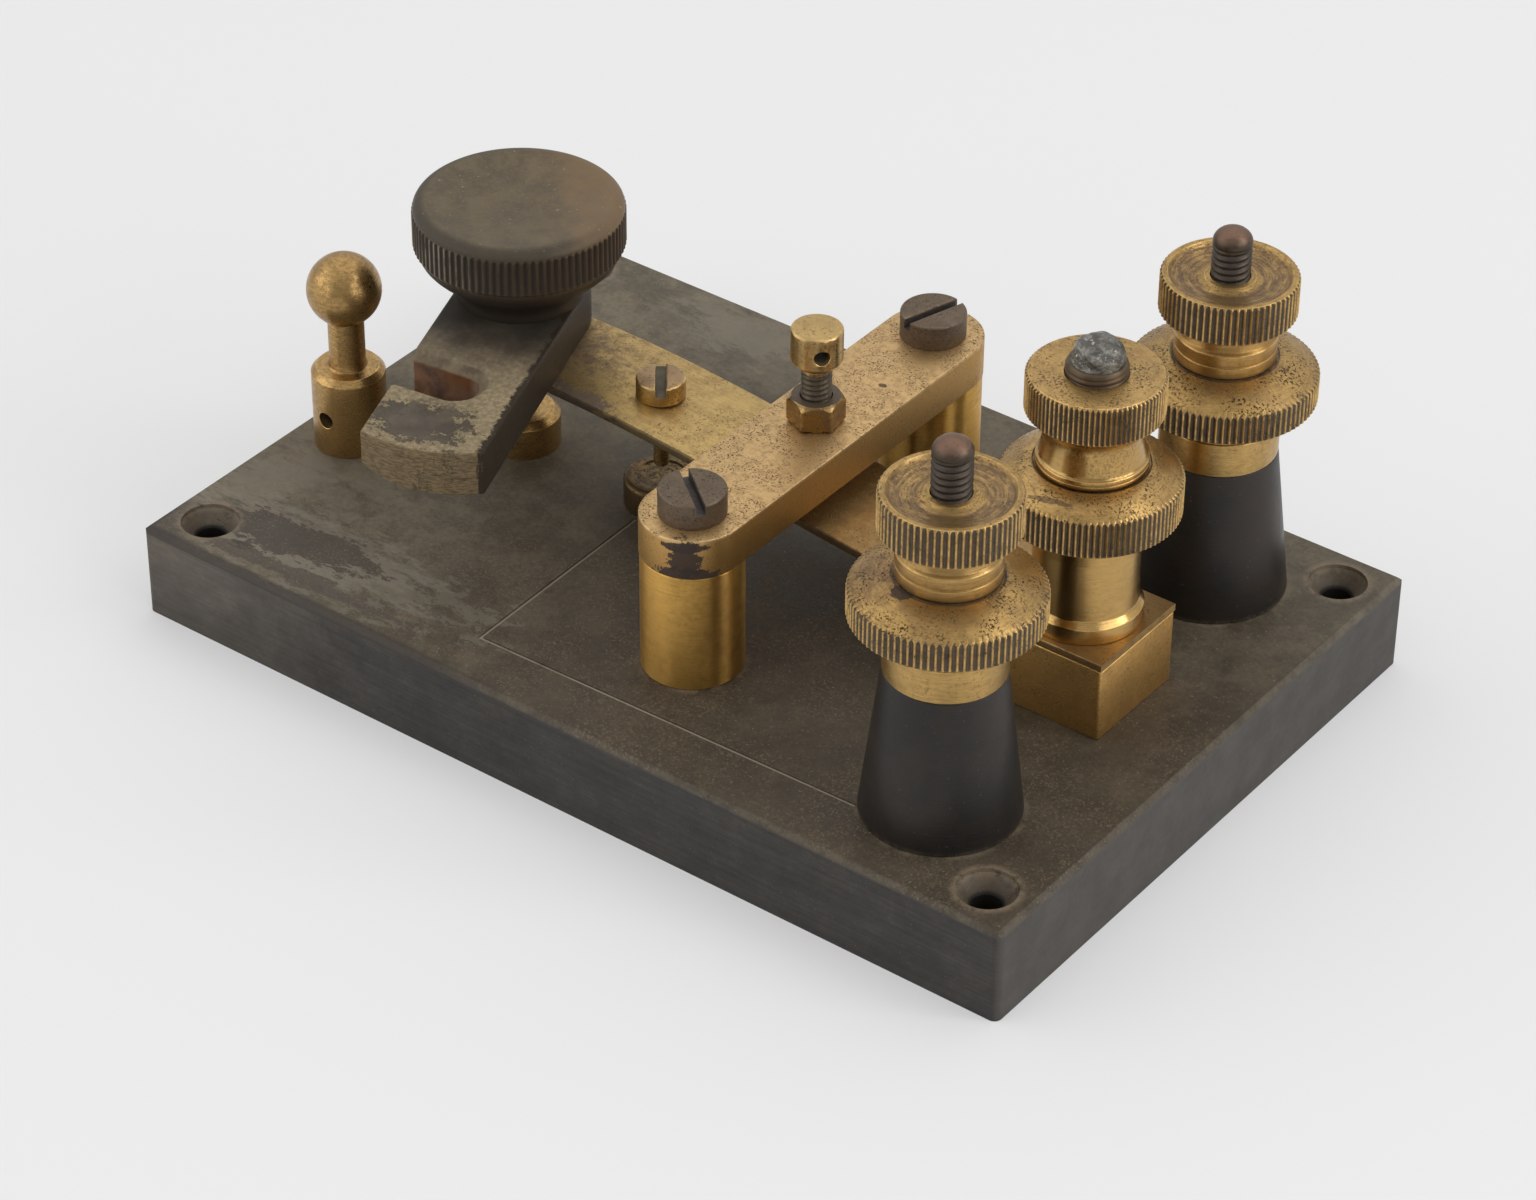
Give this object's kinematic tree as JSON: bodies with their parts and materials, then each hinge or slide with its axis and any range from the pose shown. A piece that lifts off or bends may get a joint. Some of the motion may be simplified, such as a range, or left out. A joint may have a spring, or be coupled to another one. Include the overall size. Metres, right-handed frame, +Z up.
{
  "type": "isolating key switch",
  "caption": "Ebonite base with screw terminals, a sprung brass contact strip under an adjusting bridge, and a finger knob whose slotted arm latches the strip down under a ball-headed post.",
  "frame": {"origin": "centre of the base plate's underside", "axes": "+Z up; +X along the base towards the three terminals; -Y the near long side, where the latch arm points"},
  "size_m": [0.1524, 0.1016, 0.0749],
  "materials": {
    "base_ebonite": "dark grey-brown hard rubber, satin, faded towards olive at one corner",
    "pillar_ebonite": "near-black turned hard rubber, satin sheen",
    "arm_ebonite": "hard rubber worn to khaki patches on dark grey",
    "knob_ebonite": "olive-brown hard rubber, ribbed rim",
    "turned_brass": "turned brass with old lacquer, tarnish and dirt in the knurl",
    "bar_brass": "flat brass, pitted and speckled, purple-brown tarnish at one end",
    "spring_brass": "rolled brass strip with streaks and dark edges",
    "dark_brass": "oxidised brass, brown",
    "solder": "dull grey solder"
  },
  "bodies": {
    "base": {"base_plate": "base_ebonite", "near_pillar": "pillar_ebonite", "far_pillar": "pillar_ebonite", "near_hub": "turned_brass", "far_hub": "turned_brass", "near_stud": "dark_brass", "far_stud": "dark_brass", "terminal_block": "turned_brass", "middle_column": "turned_brass", "solder_cap": "solder", "lower_contact": "turned_brass", "stop_stud": "turned_brass", "latch_post": "turned_brass", "near_bridge_pillar": "turned_brass", "far_bridge_pillar": "turned_brass", "bridge_bar": "bar_brass", "near_bridge_screw": "dark_brass", "far_bridge_screw": "dark_brass", "underside_nuts": "turned_brass", "underside_screws": "turned_brass", "near_strap": "turned_brass", "far_strap": "turned_brass"},
    "lever": {"contact_strip": "spring_brass", "contact_screw": "dark_brass"},
    "latch": {"latch_arm": "arm_ebonite", "finger_knob": "knob_ebonite", "pivot_bolt": "dark_brass"},
    "adjuster": {"adjusting_screw": "dark_brass"},
    "lock": {"locknut": "dark_brass"},
    "near_large": {"near_large_nut": "turned_brass"},
    "near_clamp": {"near_clamp_nut": "turned_brass"},
    "middle_large": {"middle_large_nut": "turned_brass"},
    "middle_clamp": {"middle_clamp_nut": "turned_brass"},
    "far_large": {"far_large_nut": "turned_brass"},
    "far_clamp": {"far_clamp_nut": "turned_brass"}
  },
  "joints": [
    {"name": "key_press", "type": "hinge", "parent": "base", "child": "lever", "pos_m": [0.0446, 0.0007, 0.02725], "axis": [0, -1, 0], "range_deg": [0, 1.75], "stiffness_Nm_per_rad": 18, "springref_deg": -0.57, "deforming": ["contact_strip"]},
    {"name": "latch_swing", "type": "hinge", "parent": "lever", "child": "latch", "pos_m": [-0.0463, 0.0007, 0.041], "axis": [0, 0, 1], "range_deg": [-37, 39]},
    {"name": "adjust_turn", "type": "hinge", "parent": "base", "child": "adjuster", "pos_m": [0.0073, 0.001, 0.045], "axis": [0, 0, 1], "continuous": true},
    {"name": "locknut_slide", "type": "slide", "parent": "base", "child": "lock", "axis": [0, 0, 1], "range_m": [0, 0.0035]},
    {"name": "near_clamp_slide", "type": "slide", "parent": "base", "child": "near_clamp", "axis": [0, 0, 1], "range_m": [0, 0.006]},
    {"name": "near_large_slide", "type": "slide", "parent": "base", "child": "near_large", "axis": [0, 0, 1], "range_m": [0, 0.003]},
    {"name": "middle_clamp_slide", "type": "slide", "parent": "base", "child": "middle_clamp", "axis": [0, 0, 1], "range_m": [0, 0.006]},
    {"name": "middle_large_slide", "type": "slide", "parent": "base", "child": "middle_large", "axis": [0, 0, 1], "range_m": [0, 0.003]},
    {"name": "far_clamp_slide", "type": "slide", "parent": "base", "child": "far_clamp", "axis": [0, 0, 1], "range_m": [0, 0.006]},
    {"name": "far_large_slide", "type": "slide", "parent": "base", "child": "far_large", "axis": [0, 0, 1], "range_m": [0, 0.003]}
  ],
  "couplings": [
    {"joint": "near_large_slide", "follows": "near_clamp_slide", "ratio": 0.5},
    {"joint": "middle_large_slide", "follows": "middle_clamp_slide", "ratio": 0.5},
    {"joint": "far_large_slide", "follows": "far_clamp_slide", "ratio": 0.5}
  ]
}
